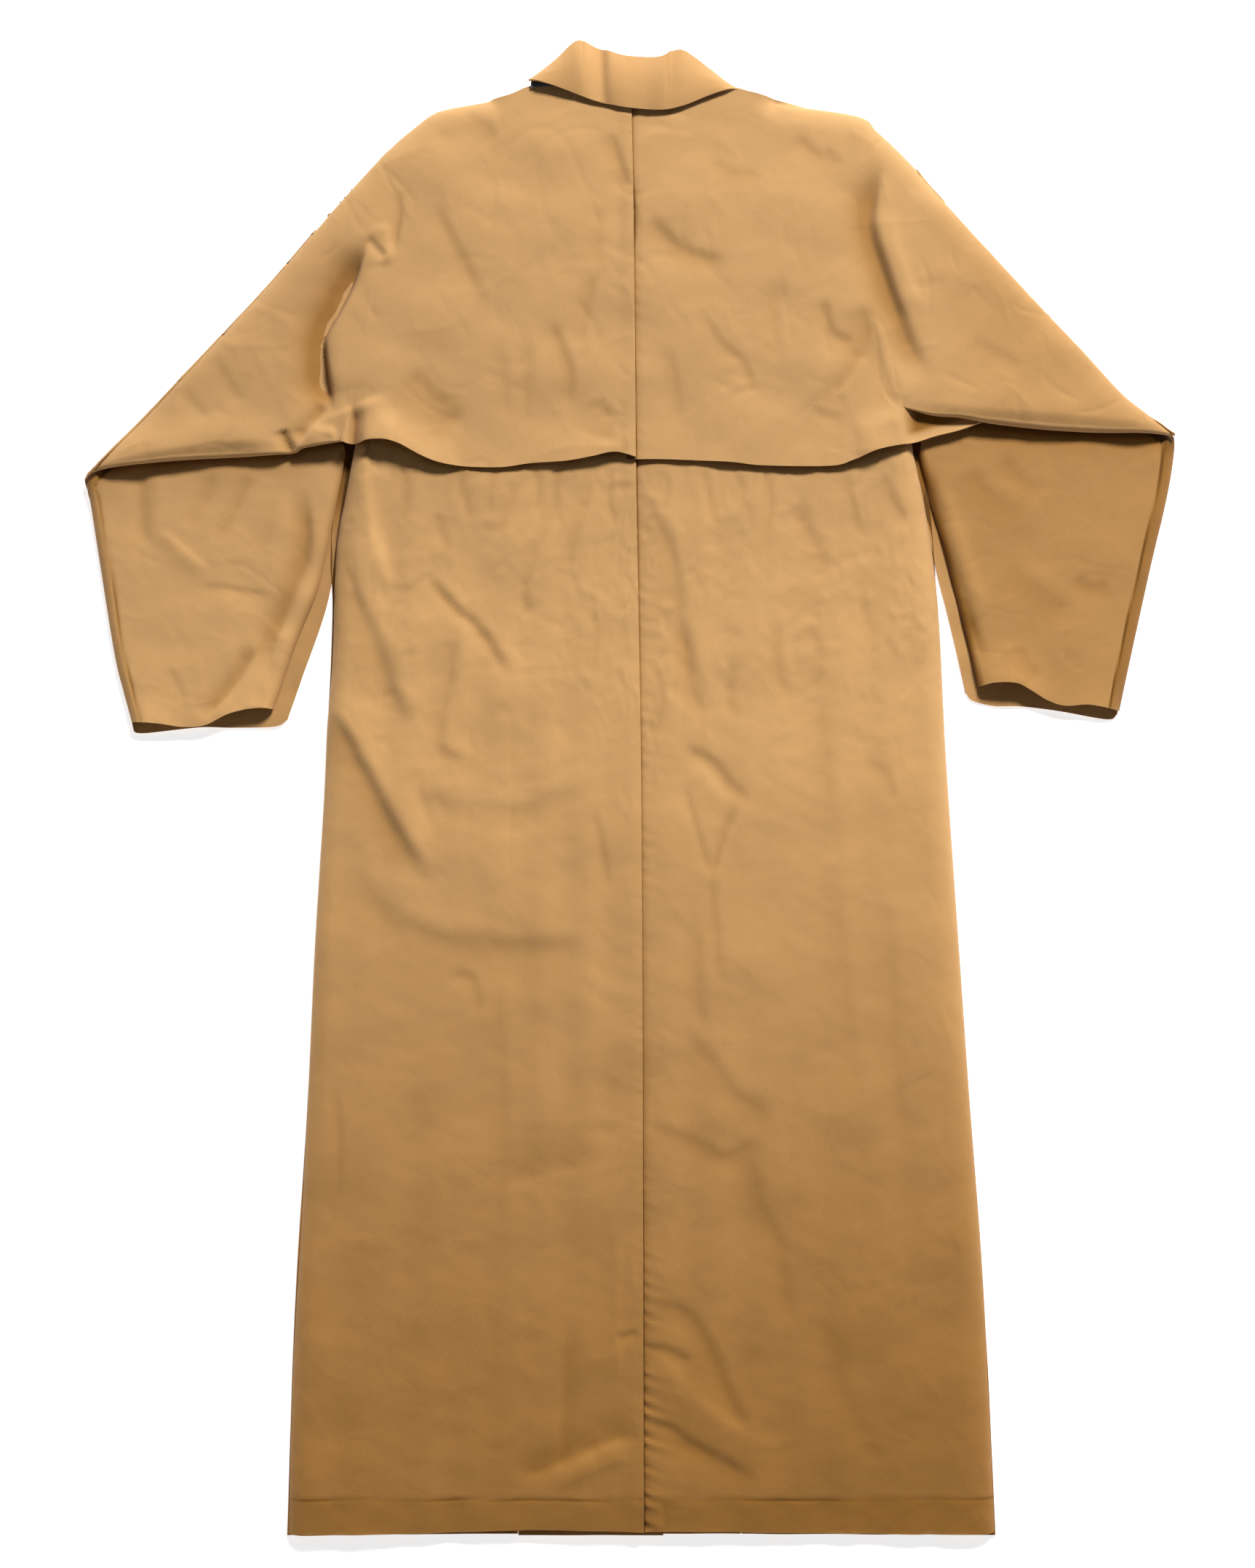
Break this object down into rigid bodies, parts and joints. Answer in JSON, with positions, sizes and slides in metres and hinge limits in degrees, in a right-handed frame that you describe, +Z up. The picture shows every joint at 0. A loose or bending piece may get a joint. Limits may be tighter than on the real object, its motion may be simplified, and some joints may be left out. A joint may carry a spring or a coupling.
{
  "type": "coat",
  "caption": "Long storm-cape overcoat laid flat on its front: folded sleeves, fall collar, back cape, lapped fronts, slit pockets and a hanging loop.",
  "frame": {"origin": "on the surface the coat lies on, midway between the elbows and midway from hem to collar", "axes": "+Z up out of the back of the coat, +Y from hem to collar, +X towards the wearer's right sleeve"},
  "size_m": [0.972, 1.328, 0.0264],
  "materials": {
    "cloth": "smooth tan cotton cloth",
    "lining": "dark grey lining",
    "pocketing": "plain pocket cloth",
    "button": "dark brown button"
  },
  "bodies": {
    "coat_body": {"left_back_panel": "cloth", "left_back_hem": "cloth", "left_side_seam": "cloth", "left_cape": "cloth", "left_front_panel": "cloth", "left_front_hem": "cloth", "left_pocket_welt": "cloth", "left_pocket_bag_front": "pocketing", "left_pocket_bag_back": "pocketing", "left_pocket_seam": "pocketing", "left_upper_sleeve_back": "cloth", "left_upper_sleeve_front": "cloth", "left_upper_overarm_seam": "cloth", "left_front_collar_leaf": "cloth", "right_back_panel": "cloth", "right_back_hem": "cloth", "right_side_seam": "cloth", "right_cape": "cloth", "right_front_panel": "cloth", "right_front_hem": "cloth", "right_pocket_welt": "cloth", "right_pocket_bag_front": "pocketing", "right_pocket_bag_back": "pocketing", "right_pocket_seam": "pocketing", "right_upper_sleeve_back": "cloth", "right_upper_sleeve_front": "cloth", "right_upper_overarm_seam": "cloth", "right_front_collar_leaf": "cloth", "centre_back_seam": "cloth", "left_front_edge": "cloth", "left_front_facing": "cloth", "front_button_1": "button", "front_button_2": "button", "front_button_3": "button", "front_button_4": "button", "front_button_5": "button", "collar_stand": "lining", "back_neck_facing": "lining", "hanging_loop": "cloth"},
    "cape_flap": {"left_cape_flap": "cloth", "right_cape_flap": "cloth"},
    "left_forearm": {"left_forearm_back": "cloth", "left_forearm_front": "cloth", "left_forearm_overarm_seam": "cloth", "left_forearm_underarm_seam": "cloth", "left_cuff_facing": "cloth"},
    "right_forearm": {"right_forearm_back": "cloth", "right_forearm_front": "cloth", "right_forearm_overarm_seam": "cloth", "right_forearm_underarm_seam": "cloth", "right_cuff_facing": "cloth"},
    "collar": {"under_collar": "cloth", "collar_leaf": "cloth"},
    "right_front": {"right_front_edge": "cloth", "right_fly_facing": "cloth"}
  },
  "joints": [
    {"name": "left_elbow", "type": "hinge", "parent": "coat_body", "child": "left_forearm", "pos_m": [-0.486, 0.275, 0.0085], "axis": [0, 0, -1], "range_deg": [0, 36]},
    {"name": "right_elbow", "type": "hinge", "parent": "coat_body", "child": "right_forearm", "pos_m": [0.486, 0.304, 0.0085], "axis": [0, 0, 1], "range_deg": [0, 40]},
    {"name": "cape_lift", "type": "hinge", "parent": "coat_body", "child": "cape_flap", "pos_m": [0, 0.365, 0.021], "axis": [-1, 0, 0], "range_deg": [0, 100]},
    {"name": "collar_turn_up", "type": "hinge", "parent": "coat_body", "child": "collar", "pos_m": [0, 0.664, 0.0219], "axis": [-1, 0, 0], "range_deg": [0, 165]},
    {"name": "front_open", "type": "hinge", "parent": "coat_body", "child": "right_front", "pos_m": [0.1, 0, 0], "axis": [0, -1, 0], "range_deg": [0, 150]}
  ]
}
